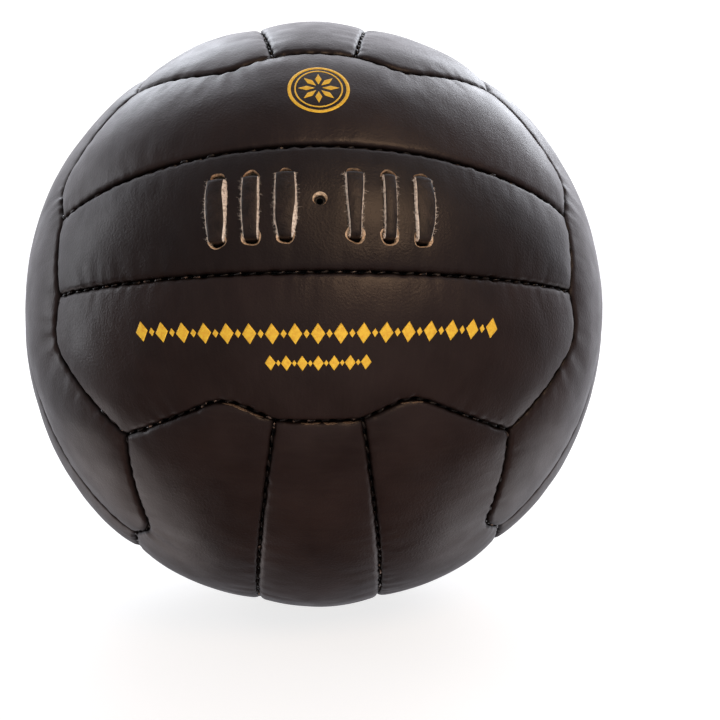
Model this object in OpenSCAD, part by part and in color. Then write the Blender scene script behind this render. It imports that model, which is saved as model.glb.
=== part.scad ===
// Laced leather ball, hand stitched from eighteen strip-shaped panels.
//
// The pattern is a cube drawn on a sphere: each of the six faces carries three
// parallel strips, and the strips of neighbouring faces run at right angles.
// The origin is the centre of the ball, +Z is up, and the laced face looks
// towards -Y and a little upwards. The ball rests on its lowest point.

/* [Ball] */
// Diameter over the crowns of the panels
ball_d = 220; // [200:1:240]
// Angle of the laced face's normal above the horizon, in degrees
laced_tilt = 24; // [0:1:40]

/* [Seam pattern] */
// Width of a face's middle strip, halfway along it, in degrees of arc
strip_mid_arc = 22.9; // [21:0.1:25]
// Width of a face's middle strip at its two ends, in degrees of arc
strip_end_arc = 14.8; // [13:0.1:17]
// Length of a face's middle strip, in degrees of arc
strip_long_arc = 106.7; // [104:0.1:109]
// How far the end of a side strip peaks beyond the middle strip's end, in degrees
peak_reach_arc = 3.8; // [2:0.1:5]
// Distance of that peak from the face's centre line, in degrees
peak_side_arc = 15.85; // [14:0.05:17]
// Distance from the peak over which the outline is rounded
peak_round = 7; // [5:0.5:8]

/* [Panels] */
// Thickness of the leather
leather_t = 1.8; // [1.5:0.1:2.1]
// Thickness of the skived edge that is turned inwards along each seam
turn_in_t = 1.4; // [1:0.1:1.8]
// Depth of the turned-in edge below the outer surface
turn_in_depth = 5; // [4.8:0.1:5.2]
// Gap between two neighbouring panels, filled by the sewing thread
seam_gap = 1.1; // [1:0.1:1.4]
// Thickness of the cloth lining glued inside each panel
lining_t = 0.8; // [0.6:0.1:0.9]

/* [Sewing thread] */
// Diameter of the waxed thread
thread_d = 0.7; // [0.5:0.1:0.8]
// Distance from one stitch to the next
stitch_pitch = 4.5; // [4:0.5:8]
// Length of thread that shows in the gap at each stitch
stitch_len = 2.6; // [2:0.2:3.4]

/* [Lacing] */
// Distance between neighbouring laces along the strip
lace_pitch = 10.9; // [9:0.1:11.5]
// Distance between the two rows of punched holes
hole_row_gap = 20.4; // [18:0.1:22]
// Diameter of a punched lace hole
lace_hole_d = 4.8; // [4.6:0.1:5.4]
// Width of the leather thong where it shows
lace_w = 6; // [4.5:0.1:6.5]
// Thickness of the thong
lace_t = 1.4; // [1:0.1:1.4]
// Shift of the lacing along the strip, away from the face's centre
lace_shift = 1.2; // [-2:0.1:2]

/* [Bladder and valve] */
// Thickness of the bladder's rubber
bladder_t = 0.6; // [0.5:0.1:1]
// Diameter of the hole in the leather over the valve
valve_hole_d = 4.6; // [4:0.1:6]
// Diameter of the channel that takes the inflating needle
needle_hole_d = 2.2; // [2:0.1:2.6]
// Shift of the valve along the strip, away from the face's centre
valve_shift_x = 1.1; // [-2:0.1:2]
// Shift of the valve across the strip, towards the upper seam
valve_shift_z = 1.5; // [-2:0.1:2]

/* [Hidden] */

$fn = 96;
bore_fn = 48;
thread_fn = 16;

leather_colour = "#2d2422";
lining_colour = "#d8cfb8";
thread_colour = "#15110f";
lace_colour = "#3a2a22";
bladder_colour = "#26282a";
valve_colour = "#1b1b1b";

ball_r = ball_d / 2;
// Room left between glued or resting layers, so that no two solids overlap
layer_gap = 0.1;
leather_inner_r = ball_r - leather_t;
lining_outer_r = leather_inner_r - layer_gap;
lining_inner_r = lining_outer_r - lining_t;
turn_in_r = ball_r - turn_in_depth;
// Room between the turned-in edges and the bladder, where the lacing backing lies
backing_room = 0.8;
backing_gap = 0.15;
backing_t = 0.4;
bladder_r = turn_in_r - backing_room;
backing_inner_r = bladder_r + backing_gap;
// How far a cutting shape reaches beyond what it cuts
cut_margin = 1;

// Middle strip: half widths, and the longitude of its ends from the face's centre
mid_lat = strip_mid_arc / 2;
end_lat = strip_end_arc / 2;
end_lon = strip_long_arc / 2;
// Both long seams of a face lie in planes z = -y * seam_slope +- seam_lift (radius 1)
seam_slope = (sin(mid_lat) - sin(end_lat)) / (cos(mid_lat) - cos(end_lat) * cos(end_lon));
seam_lift = sin(mid_lat) - cos(mid_lat) * seam_slope;
seam_steps = 6;
peak_steps = 4;

// The frame of one face: strips along X, face normal -Y, sideways Z.
// Each entry turns that frame onto one face of the cube.
FRONT = [0, 0, 0];
BACK = [0, 0, 180];
RIGHT = [90, -90, 0];
LEFT = [-90, -90, 0];
TOP = [-90, 0, -90];
BOTTOM = [90, 0, -90];

// ---- Points and outlines on the unit sphere -------------------------------

function unit(v) = v / norm(v);
function arc_deg(length) = length / ball_r * 180 / PI;
function reversed(list) = [for (i = [len(list) - 1:-1:0]) list[i]];
function tail(list) = [for (i = [1:len(list) - 1]) list[i]];
function without_ends(list) = [for (i = [1:len(list) - 2]) list[i]];
function mirror_x(list) = [for (p = list) [-p.x, p.y, p.z]];
function mirror_z(list) = [for (p = list) [p.x, p.y, -p.z]];

// Point seen from the face's centre at a longitude and a latitude
function face_point(lon, lat) = [cos(lat) * sin(lon), -cos(lat) * cos(lon), sin(lat)];

// Latitude of the upper long seam at a longitude
function seam_lat(lon) =
    let (k = cos(lon) * seam_slope)
    atan(k) + asin(seam_lift / sqrt(1 + k * k));

function rounded_corner(from, corner, to, steps) =
    [for (i = [0:steps]) let (t = i / steps)
        unit((1 - t) * (1 - t) * from + 2 * t * (1 - t) * corner + t * t * to)];

// Point a given distance from a, on the way to b
function towards(a, b, distance) = unit(a + unit(b - a) * distance / ball_r);

// Length on the ball of the great circle from a to b, and of a line of them
function arc_length(a, b) = ball_r * acos(a * b) * PI / 180;
function line_length(line, i = 0) =
    i == len(line) - 1 ? 0 : arc_length(line[i], line[i + 1]) + line_length(line, i + 1);

// Point a fraction t of the way along the great circle from a to b
function on_arc(a, b, t) =
    let (arc = acos(a * b))
    (a * sin((1 - t) * arc) + b * sin(t * arc)) / sin(arc);

// Point at a distance along a line of great circles
function point_along(line, distance, i = 0) =
    let (step = arc_length(line[i], line[i + 1]))
    distance <= step || i == len(line) - 2
        ? on_arc(line[i], line[i + 1], distance / step)
        : point_along(line, distance - step, i + 1);

junction = face_point(end_lon, seam_lat(end_lon));
low_junction = face_point(end_lon, -seam_lat(end_lon));
peak = face_point(end_lon + peak_reach_arc, peak_side_arc);
cube_corner = unit([1, -1, 1]);

// Long seam between the middle strip and the upper strip, from left to right
long_seam = [for (i = [0:seam_steps])
    let (lon = end_lon * (2 * i / seam_steps - 1)) face_point(lon, seam_lat(lon))];

// Upper half of the seam across the face's right end, from the junction to the corner
half_end = concat(
    [junction],
    rounded_corner(towards(peak, junction, peak_round), peak,
                   towards(peak, cube_corner, peak_round), peak_steps),
    [cube_corner]);

// The same seam line where the upper neighbour's strips end against this face
function as_side(list) = [for (p = list) [p.z, -p.x, -p.y]];

middle_outline = concat(reversed(long_seam), mirror_z(long_seam));
upper_outline = concat(
    long_seam,
    tail(half_end),
    tail(reversed(as_side(half_end))),
    mirror_x(as_side(half_end)),
    without_ends(mirror_x(reversed(half_end))));
middle_centre = [0, -1, 0];
// The side strip runs from its long seam to the neighbouring face's strip ends
upper_centre = face_point(0, (mid_lat + 90 - end_lon) / 2);

// Outline moved inwards by a distance along the surface. The outline runs
// anticlockwise as seen from outside, so cross(a, b) points into the panel.
function inset(outline, distance) =
    let (n = len(outline))
    [for (i = [0:n - 1])
        let (before = outline[(i + n - 1) % n], here = outline[i], after = outline[(i + 1) % n],
             n1 = unit(cross(before, here)), n2 = unit(cross(here, after)))
        unit(here + (n1 + n2) / (1 + n1 * n2) * distance / ball_r)];

// ---- Building blocks ------------------------------------------------------

// Pyramid from the ball's centre through an outline, ending outside the ball
module sector(outline, centre) {
    n = len(outline);
    reach = 2 * ball_r;
    polyhedron(
        points = concat([[0, 0, 0], centre * reach], outline * reach),
        faces = [for (i = [0:n - 1], cap = [0, 1])
            let (a = i + 2, b = (i + 1) % n + 2)
            cap == 1 ? [1, b, a] : [0, a, b]]);
}

module shell(outer_r, inner_r) {
    difference() {
        sphere(r = outer_r);
        sphere(r = inner_r);
    }
}

// Leather panel with its edges turned inwards
module leather_panel(outline, centre) {
    difference() {
        intersection() {
            sphere(r = ball_r);
            sector(inset(outline, seam_gap / 2), centre);
        }
        sphere(r = turn_in_r);
        intersection() {
            sphere(r = leather_inner_r);
            sector(inset(outline, seam_gap / 2 + turn_in_t), centre);
        }
    }
}

// Cloth lining that lies inside the turned-in edges
module cloth_lining(outline, centre) {
    intersection() {
        shell(lining_outer_r, lining_inner_r);
        sector(inset(outline, seam_gap / 2 + turn_in_t + layer_gap), centre);
    }
}

// Round rod between two points
module rod(a, b, d) {
    v = b - a;
    translate(a)
        rotate([0, acos(v.z / norm(v)), atan2(v.y, v.x)])
            cylinder(h = norm(v), d = d, $fn = thread_fn);
}

// Stitches spread evenly along a seam line
module stitches_along(line) {
    total = line_length(line);
    count = floor(total / stitch_pitch);
    thread_r = ball_r - leather_t;
    for (i = [0:count - 1]) {
        middle = (i + 0.5) / count * total;
        rod(thread_r * point_along(line, middle - stitch_len / 2),
            thread_r * point_along(line, middle + stitch_len / 2), thread_d);
    }
}

// Turns a feature drawn on the -Y axis to a longitude and latitude of the face
module at_face(lon, lat) {
    rotate([-lat, 0, lon]) children();
}

// Cylinder along the local -Y axis, from one radius to another
module radial_cylinder(from_r, to_r, d) {
    translate([0, -from_r, 0])
        rotate([90, 0, 0])
            cylinder(h = to_r - from_r, d = d, $fn = bore_fn);
}

// ---- Lacing and valve, drawn on the front face ----------------------------

lace_count = 3;
lace_arc = arc_deg(lace_pitch);
hole_lat = arc_deg(hole_row_gap / 2);
lace_centre_lon = arc_deg(lace_shift);
// Width of the thong where it is folded to pass through a hole
thong_leg_w = 3.8;
// Gap between the leather and the thong that lies over it
lace_rise = 0.15;
// Depth behind the lining of the thong's inner runs, at the middle of their thickness
lace_run_depth = 1.5;
lace_inner_r = lining_inner_r - lace_run_depth;
// Length of the thong's loose ends inside
tail_length = 8;

function lace_lon(side, i) = lace_centre_lon + side * (i + 1) * lace_arc;

module at_valve() {
    at_face(arc_deg(valve_shift_x), arc_deg(valve_shift_z)) children();
}

module lace_holes() {
    for (side = [-1, 1], i = [0:lace_count - 1], row = [-1, 1])
        at_face(lace_lon(side, i), row * hole_lat)
            radial_cylinder(turn_in_r, ball_r + cut_margin, lace_hole_d);
}

// Visible stretch of the thong, bent over the leather from hole to hole
module lace_bridge() {
    rotate([-90, 0, -90])
        rotate([0, 0, -hole_lat])
            rotate_extrude(angle = 2 * hole_lat)
                translate([ball_r + lace_rise, -lace_w / 2])
                    square([lace_t, lace_w]);
}

// Stretch of the thong that goes down through a hole
module lace_leg() {
    top_r = ball_r + lace_rise + lace_t;
    bottom_r = lace_inner_r - lace_t / 2;
    translate([-thong_leg_w / 2, -top_r, -lace_t / 2])
        cube([thong_leg_w, top_r - bottom_r, lace_t]);
}

// Straight stretch behind the leather, centred on the -Y axis
module lace_run(length, angle) {
    rotate([0, angle, 0])
        translate([-thong_leg_w / 2, -lace_inner_r - lace_t / 2, -length / 2])
            cube([thong_leg_w, lace_t, length]);
}

// Thong through six holes: three bridges outside and two slanting runs inside
module lace(side) {
    slant = atan(lace_pitch / hole_row_gap) * side;
    run_length = norm([lace_pitch, hole_row_gap]) * lace_inner_r / ball_r;
    color(lace_colour)
        union() {
            for (i = [0:lace_count - 1])
                rotate([0, 0, lace_lon(side, i)])
                    lace_bridge();
            for (i = [0:lace_count - 1], row = [-1, 1])
                at_face(lace_lon(side, i), row * hole_lat)
                    lace_leg();
            for (i = [0:lace_count - 2])
                rotate([0, 0, (lace_lon(side, i) + lace_lon(side, i + 1)) / 2])
                    lace_run(run_length, slant);
            at_face(lace_lon(side, 0), hole_lat - arc_deg(tail_length / 2))
                lace_run(tail_length, 0);
            at_face(lace_lon(side, lace_count - 1), arc_deg(tail_length / 2) - hole_lat)
                lace_run(tail_length, 0);
        }
}

// The stem goes this far into the bladder, and ends just behind the leather
stem_reach = 8;
stem_d = 8.4;
stem_inner_r = bladder_r - stem_reach;
stem_outer_r = leather_inner_r - layer_gap;
seat_flange_d = 15;
seat_flange_t = 0.6;
core_d = 4.9;
core_bore_d = 5;
core_collar_d = 6.4;
core_collar_t = 1.2;
// Added to a diameter, so that a glued or resting piece does not overlap its hole
stem_clearance = 0.4;
flange_clearance = 1;
// Edge of the backing patch beyond the rows of holes
backing_margin = 6;

// ---- Sub-parts ------------------------------------------------------------

// A face has two equal side strips: turn is 0 for the one towards the face's
// own +Z and HALF_TURN for the other.
HALF_TURN = [0, 180, 0];

module side_panel(face, turn = [0, 0, 0]) {
    color(leather_colour)
        rotate(face) rotate(turn)
            leather_panel(upper_outline, upper_centre);
}

module middle_panel(face) {
    color(leather_colour)
        rotate(face)
            leather_panel(middle_outline, middle_centre);
}

module laced_panel() {
    color(leather_colour)
        difference() {
            leather_panel(middle_outline, middle_centre);
            lace_holes();
            at_valve() radial_cylinder(turn_in_r, ball_r + cut_margin, valve_hole_d);
        }
}

module side_lining(face, turn = [0, 0, 0]) {
    color(lining_colour)
        rotate(face) rotate(turn)
            cloth_lining(upper_outline, upper_centre);
}

module middle_lining(face) {
    color(lining_colour)
        rotate(face)
            cloth_lining(middle_outline, middle_centre);
}

module laced_lining() {
    color(lining_colour)
        difference() {
            cloth_lining(middle_outline, middle_centre);
            lace_holes();
            at_valve() radial_cylinder(turn_in_r, ball_r, stem_d + stem_clearance);
        }
}

module strip_stitches(face) {
    color(thread_colour)
        rotate(face) {
            stitches_along(long_seam);
            stitches_along(mirror_z(long_seam));
        }
}

module end_stitches(face) {
    color(thread_colour)
        rotate(face)
            for (turn = [[0, 0, 0], HALF_TURN])
                rotate(turn) {
                    stitches_along(half_end);
                    stitches_along(mirror_z(half_end));
                    stitches_along([junction, low_junction]);
                }
}

// Cloth patch that keeps the thong off the bladder
module lacing_backing() {
    patch_w = 2 * (lace_count + 1) * lace_pitch;
    patch_h = hole_row_gap + 2 * backing_margin;
    color(lining_colour)
        difference() {
            intersection() {
                shell(backing_inner_r + backing_t, backing_inner_r);
                translate([lace_shift - patch_w / 2, -ball_r, -patch_h / 2])
                    cube([patch_w, ball_r, patch_h]);
            }
            at_valve()
                radial_cylinder(backing_inner_r - cut_margin, ball_r, seat_flange_d + flange_clearance);
        }
}

module bladder() {
    color(bladder_colour)
        difference() {
            shell(bladder_r, bladder_r - bladder_t);
            at_valve()
                radial_cylinder(bladder_r - bladder_t - cut_margin, ball_r, stem_d + stem_clearance);
        }
}

// Rubber stem with a flange that is glued to the bladder
module valve_seat() {
    color(valve_colour)
        difference() {
            union() {
                at_valve() radial_cylinder(stem_inner_r, stem_outer_r, stem_d);
                intersection() {
                    shell(bladder_r + layer_gap + seat_flange_t, bladder_r + layer_gap);
                    at_valve() radial_cylinder(bladder_r - cut_margin, ball_r, seat_flange_d);
                }
            }
            at_valve() radial_cylinder(stem_inner_r - cut_margin, ball_r, core_bore_d);
        }
}

// Rubber plug that closes round the needle
module valve_core() {
    collar_top_r = stem_inner_r - layer_gap;
    core_inner_r = collar_top_r - core_collar_t;
    color(valve_colour)
        at_valve()
            difference() {
                union() {
                    radial_cylinder(core_inner_r, stem_outer_r, core_d);
                    radial_cylinder(core_inner_r, collar_top_r, core_collar_d);
                }
                radial_cylinder(core_inner_r - cut_margin, ball_r, needle_hole_d);
            }
}

module tilted() {
    rotate([-laced_tilt, 0, 0]) children();
}

tilted() side_panel(FRONT);  // panel_front_upper
tilted() laced_panel();  // panel_front_laced
tilted() side_panel(FRONT, HALF_TURN);  // panel_front_lower
tilted() side_panel(BACK);  // panel_back_upper
tilted() middle_panel(BACK);  // panel_back_middle
tilted() side_panel(BACK, HALF_TURN);  // panel_back_lower
tilted() side_panel(RIGHT);  // panel_right_front
tilted() middle_panel(RIGHT);  // panel_right_middle
tilted() side_panel(RIGHT, HALF_TURN);  // panel_right_rear
tilted() side_panel(LEFT);  // panel_left_rear
tilted() middle_panel(LEFT);  // panel_left_middle
tilted() side_panel(LEFT, HALF_TURN);  // panel_left_front
tilted() side_panel(TOP);  // panel_top_right
tilted() middle_panel(TOP);  // panel_top_middle
tilted() side_panel(TOP, HALF_TURN);  // panel_top_left
tilted() side_panel(BOTTOM);  // panel_bottom_left
tilted() middle_panel(BOTTOM);  // panel_bottom_middle
tilted() side_panel(BOTTOM, HALF_TURN);  // panel_bottom_right
tilted() side_lining(FRONT);  // lining_front_upper
tilted() laced_lining();  // lining_front_laced
tilted() side_lining(FRONT, HALF_TURN);  // lining_front_lower
tilted() side_lining(BACK);  // lining_back_upper
tilted() middle_lining(BACK);  // lining_back_middle
tilted() side_lining(BACK, HALF_TURN);  // lining_back_lower
tilted() side_lining(RIGHT);  // lining_right_front
tilted() middle_lining(RIGHT);  // lining_right_middle
tilted() side_lining(RIGHT, HALF_TURN);  // lining_right_rear
tilted() side_lining(LEFT);  // lining_left_rear
tilted() middle_lining(LEFT);  // lining_left_middle
tilted() side_lining(LEFT, HALF_TURN);  // lining_left_front
tilted() side_lining(TOP);  // lining_top_right
tilted() middle_lining(TOP);  // lining_top_middle
tilted() side_lining(TOP, HALF_TURN);  // lining_top_left
tilted() side_lining(BOTTOM);  // lining_bottom_left
tilted() middle_lining(BOTTOM);  // lining_bottom_middle
tilted() side_lining(BOTTOM, HALF_TURN);  // lining_bottom_right
tilted() strip_stitches(FRONT);  // strip_stitches_front
tilted() strip_stitches(BACK);  // strip_stitches_back
tilted() strip_stitches(RIGHT);  // strip_stitches_right
tilted() strip_stitches(LEFT);  // strip_stitches_left
tilted() strip_stitches(TOP);  // strip_stitches_top
tilted() strip_stitches(BOTTOM);  // strip_stitches_bottom
tilted() end_stitches(FRONT);  // end_stitches_front
tilted() end_stitches(BACK);  // end_stitches_back
tilted() end_stitches(RIGHT);  // end_stitches_right
tilted() end_stitches(LEFT);  // end_stitches_left
tilted() end_stitches(TOP);  // end_stitches_top
tilted() end_stitches(BOTTOM);  // end_stitches_bottom
tilted() lace(-1);  // lace_left
tilted() lace(1);  // lace_right
tilted() lacing_backing();
tilted() bladder();
tilted() valve_seat();
tilted() valve_core();
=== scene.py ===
"""Looks of a laced leather football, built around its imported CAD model.

The ball is a cube drawn on a sphere: each of its six faces carries three parallel strips of
leather, sewn edge to edge. Every strip is built here as a closed, thick, inflated skin in the
frame of one face (strips along X, face normal -Y, sideways Z), and then turned into place.
"""
import itertools
import math

import bpy
import numpy as np
from mathutils import Euler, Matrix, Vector
from mathutils.bvhtree import BVHTree


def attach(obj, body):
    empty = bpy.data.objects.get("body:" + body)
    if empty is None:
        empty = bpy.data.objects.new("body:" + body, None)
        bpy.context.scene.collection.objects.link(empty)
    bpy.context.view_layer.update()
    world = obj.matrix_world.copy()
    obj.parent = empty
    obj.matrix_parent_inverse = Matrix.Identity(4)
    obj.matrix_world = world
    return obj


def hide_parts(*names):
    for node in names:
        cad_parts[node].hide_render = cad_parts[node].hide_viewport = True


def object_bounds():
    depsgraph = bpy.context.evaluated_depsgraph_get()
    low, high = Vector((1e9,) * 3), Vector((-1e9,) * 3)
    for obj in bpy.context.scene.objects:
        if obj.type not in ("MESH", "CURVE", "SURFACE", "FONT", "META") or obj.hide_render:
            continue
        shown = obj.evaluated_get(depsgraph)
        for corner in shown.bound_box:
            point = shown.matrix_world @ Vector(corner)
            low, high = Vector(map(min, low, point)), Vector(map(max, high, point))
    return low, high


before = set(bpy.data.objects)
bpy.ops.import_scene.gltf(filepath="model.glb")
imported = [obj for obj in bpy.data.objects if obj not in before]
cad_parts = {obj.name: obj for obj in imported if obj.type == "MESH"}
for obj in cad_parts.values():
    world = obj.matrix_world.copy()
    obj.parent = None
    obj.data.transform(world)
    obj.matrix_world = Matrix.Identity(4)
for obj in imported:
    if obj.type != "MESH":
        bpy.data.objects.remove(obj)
cad_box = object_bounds()

MM = 0.001
BALL_R = (cad_box[1][1] - cad_box[0][1]) / 2
BODY = "root"

# ---- Driving dimensions, the same ones as in the CAD model ----

LACED_TILT = math.radians(24)
STRIP_MID_LAT = math.radians(22.9 / 2)
STRIP_END_LAT = math.radians(14.8 / 2)
STRIP_END_LON = math.radians(106.7 / 2)
PEAK_REACH = math.radians(3.8)
PEAK_LAT = math.radians(15.85)
PEAK_ROUND = 7 * MM
STITCH_PITCH = 4.5 * MM
LACE_PITCH = 10.9 * MM
HOLE_ROW_GAP = 20.4 * MM
LACE_SHIFT = 1.2 * MM
VALVE_SHIFT = (1.1 * MM, 1.5 * MM)

# Leather: how far a panel's edge stays from the seam line, how thick it is, how deep it turns in
EDGE_GAP = 0.42 * MM
LEATHER_T = 1.7 * MM
TURN_IN_T = 1.3 * MM
TURN_IN_DEPTH = 4.9 * MM

# Shape of the inflated leather near a seam
CROWN_LIFT = 0.6 * MM
ROLL_DROP = 1.05 * MM
ROLL_WIDTH = 2.0 * MM
PILLOW_DROP = 1.35 * MM
PILLOW_WIDTH = 7.5 * MM

# Distance of the first mesh lines from a seam, before the even spacing of the crown starts
EDGE_STEPS = np.array([0, 0.22, 0.48, 0.8, 1.2, 1.7, 2.35, 3.15, 4.1, 5.2]) * MM
CROWN_STEP = 1.25 * MM

FACE_TURNS = {
    "front": (0, 0, 0),
    "back": (0, 0, 180),
    "right": (90, -90, 0),
    "left": (-90, -90, 0),
    "top": (-90, 0, -90),
    "bottom": (90, 0, -90),
}
# The strips of each face: the one towards the face's own +Z, the middle one, the other side
FACE_STRIPS = {
    "front": ("upper", "laced", "lower"),
    "back": ("upper", "middle", "lower"),
    "right": ("front", "middle", "rear"),
    "left": ("rear", "middle", "front"),
    "top": ("right", "middle", "left"),
    "bottom": ("left", "middle", "right"),
}


# ---- Vectors and turns ----

def unit(v):
    """Vectors scaled to length 1."""
    return v / np.linalg.norm(v, axis=-1, keepdims=True)


def turn_matrix(degrees):
    return np.array(Euler([math.radians(a) for a in degrees], "XYZ").to_matrix())


def bell(distance, width):
    """Falls smoothly from 1 towards 0, and is about a third at one width."""
    return np.exp(-(distance / width) ** 2)


# How the finished ball is bent out of round: how far its seams sit further back at both sides (an
# angle), and, as shares of its radius, how flat its sides are, how much it is drawn out upwards
# and how far it bulges low on the left, with the bulge's direction and spread
SIDE_SETBACK = 0.055
FLAT_SIDES = 0.0055
TALL = 0.0025
LOW_BULGE = 0.011
LOW_LEFT = unit(np.array([-0.74, -0.1, -0.66]))
BULGE_SPREAD = 0.05

TILT = turn_matrix((-math.degrees(LACED_TILT), 0, 0))
HALF_TURN = turn_matrix((0, 180, 0))


def full_turn(count):
    """Angles evenly spaced round a circle."""
    return np.linspace(0, 2 * math.pi, count, endpoint=False)


def rounded_corner(a, corner, b, count):
    """Points along the curve that rounds off a corner between a and b."""
    t = np.linspace(0, 1, count)[:, None]
    return (1 - t) ** 2 * a + 2 * t * (1 - t) * corner + t * t * b


def face_point(lon, lat):
    """Directions at angles along a face's strips and across them."""
    lon, lat = np.broadcast_arrays(lon, lat)
    return np.stack([np.cos(lat) * np.sin(lon), -np.cos(lat) * np.cos(lon), np.sin(lat)], -1)


def place(points, turn=np.eye(3)):
    """Points of a face's frame, turned to their place on the ball, which is not quite round."""
    world = points @ (TILT @ turn).T
    around = np.arctan2(world[..., 0], -world[..., 1])
    back = SIDE_SETBACK * np.sin(around) * np.abs(np.sin(around)) * (1 + np.cos(around)) / 2
    level = np.hypot(world[..., 0], world[..., 1])
    world = np.stack([level * np.sin(around + back), -level * np.cos(around + back),
                      world[..., 2]], -1)
    direction = unit(world)
    flat_sides = FLAT_SIDES * direction[..., 0] ** 2
    tall = TALL * direction[..., 2] ** 2
    bulge = LOW_BULGE * np.exp(-((1 - direction @ LOW_LEFT) / BULGE_SPREAD))
    return world * (1 + tall - flat_sides + bulge)[..., None]


def waves(points, wavelength, seed, count=20):
    """Smooth seeded noise of unit strength: a sum of plane waves about one wavelength long."""
    rng = np.random.default_rng(seed)
    k = unit(rng.normal(size=(count, 3))) * 2 * math.pi / wavelength
    k = k * rng.uniform(0.7, 1.4, (count, 1))
    phase = rng.uniform(0, 2 * math.pi, count)
    return np.sin(points @ k.T + phase).sum(-1) * math.sqrt(2 / count)


# ---- Seam pattern ----

SEAM_SLOPE = (math.sin(STRIP_MID_LAT) - math.sin(STRIP_END_LAT)) / (
    math.cos(STRIP_MID_LAT) - math.cos(STRIP_END_LAT) * math.cos(STRIP_END_LON))
SEAM_LIFT = math.sin(STRIP_MID_LAT) - math.cos(STRIP_MID_LAT) * SEAM_SLOPE


def seam_lat(lon):
    """How far a long seam, which is an arc in a plane, is from its face's centre line."""
    k = np.cos(lon) * SEAM_SLOPE
    return np.arctan(k) + np.arcsin(SEAM_LIFT / np.sqrt(1 + k * k))


def long_seam():
    lon = np.linspace(-STRIP_END_LON, STRIP_END_LON, 25)
    return face_point(lon, seam_lat(lon))


def half_end():
    """Seam across the upper half of a face's right end: junction, rounded peak, cube corner."""
    junction = face_point(STRIP_END_LON, seam_lat(STRIP_END_LON))
    peak = face_point(STRIP_END_LON + PEAK_REACH, PEAK_LAT)
    corner = unit(np.array([1.0, -1.0, 1.0]))
    a = unit(peak + unit(junction - peak) * PEAK_ROUND / BALL_R)
    b = unit(peak + unit(corner - peak) * PEAK_ROUND / BALL_R)
    return np.vstack([junction, unit(rounded_corner(a, peak, b, 9)), corner])


def as_side(line):
    """A strip end's seam line, seen from the face whose side strip it meets."""
    return np.stack([line[:, 2], -line[:, 0], -line[:, 1]], -1)


def mirrored(line, axis):
    sign = np.ones(3)
    sign[axis] = -1
    return line * sign


X, Z = 0, 2


def outline_pieces(kind):
    """Seam lines round a panel, anticlockwise from its lower left, and which of them make
    its lower, right, upper and left side."""
    seam, end = long_seam(), half_end()
    flat = np.vstack([mirrored(end[:1], Z), end[:1]])
    if kind == "middle":
        pieces = [mirrored(seam, Z), flat, seam[::-1], mirrored(flat, X)[::-1]]
        return pieces, ([0], [1], [2], [3])
    side_end = as_side(end)
    side_flat = np.vstack([side_end[0], mirrored(side_end[:1], X)[0]])
    pieces = [seam, end, side_end[::-1], side_flat, mirrored(side_end, X), mirrored(end, X)[::-1]]
    return pieces, ([0], [1], [2, 3, 4], [5])


def inset(loop, distance):
    """A closed outline moved inwards along the surface, with mitred corners."""
    before, after = np.roll(loop, 1, 0), np.roll(loop, -1, 0)
    n1, n2 = unit(np.cross(before, loop)), unit(np.cross(loop, after))
    along = 1 + (n1 * n2).sum(-1, keepdims=True)
    return unit(loop + (n1 + n2) / along * distance / BALL_R)


def lengths(line):
    """Distance along a line of unit directions, from its start, on the ball."""
    steps = np.linalg.norm(np.diff(line, axis=0), axis=1) * BALL_R
    return np.concatenate([[0], np.cumsum(steps)])


def sample(line, t):
    """Directions at fractions t of a line's length."""
    s = lengths(line)
    return unit(np.stack([np.interp(t * s[-1], s, line[:, i]) for i in range(3)], -1))


# Distance between the fine points along a seam, and how far its peaks gather the leather
SEAM_STEP = 0.3 * MM
GATHER_SPREAD = 9 * MM


class Outline:
    """A panel's outline: its four sides at any inset, and distances to its seam line."""

    def __init__(self, kind):
        self.pieces, self.sides = outline_pieces(kind)
        self.loop = np.vstack([piece[:-1] for piece in self.pieces])
        self.trace_seam()

    def trace_seam(self):
        """Fine points along the seam, the distance along it, and the stitch phase there."""
        points, positions, phases = [], [], []
        start = 0.0
        for piece in self.pieces:
            total = lengths(piece)[-1]
            t = np.linspace(0, 1, int(total / SEAM_STEP), endpoint=False)
            stitches = int(total / STITCH_PITCH)
            points.append(sample(piece, t))
            positions.append(start + t * total)
            phases.append(t * stitches)
            start += total
        self.seam = np.vstack(points)
        self.position = np.concatenate(positions)
        self.phase = np.concatenate(phases)
        self.corners = [piece[0] for piece in self.pieces]
        peak = as_side(face_point(STRIP_END_LON + PEAK_REACH, PEAK_LAT)[None])
        peaks = np.vstack([peak, mirrored(peak, X)])
        to_peak = np.linalg.norm(self.seam[:, None] - peaks[None], axis=-1).min(1) * BALL_R
        self.near_peak = bell(to_peak, GATHER_SPREAD)

    def side_lines(self, distance):
        """Lower, right, upper and left side, each running with the strip's own axes."""
        loop = inset(self.loop, distance)
        loop = np.vstack([loop, loop[:1]])
        starts = np.concatenate([[0], np.cumsum([len(piece) - 1 for piece in self.pieces])])
        lines = [loop[starts[side[0]]:starts[side[-1] + 1] + 1] for side in self.sides]
        return lines[0], lines[1], lines[2][::-1], lines[3][::-1]

    def nearest(self, directions):
        """Distance to the seam line, and the index of the nearest seam point."""
        found = np.zeros(len(directions), int)
        size = 4000
        for first in range(0, len(directions), size):
            chunk = directions[first:first + size]
            found[first:first + size] = np.argmax(chunk @ self.seam.T, axis=1)
        return np.linalg.norm(directions - self.seam[found], axis=1) * BALL_R, found


def graded(length):
    """Fractions of a length: close together near both ends, evenly spaced between."""
    crown = length - 2 * EDGE_STEPS[-1]
    inner = np.linspace(0, crown, max(3, round(crown / CROWN_STEP)) + 1)[1:-1]
    return np.concatenate([EDGE_STEPS, EDGE_STEPS[-1] + inner, (length - EDGE_STEPS)[::-1]]) / length


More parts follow.
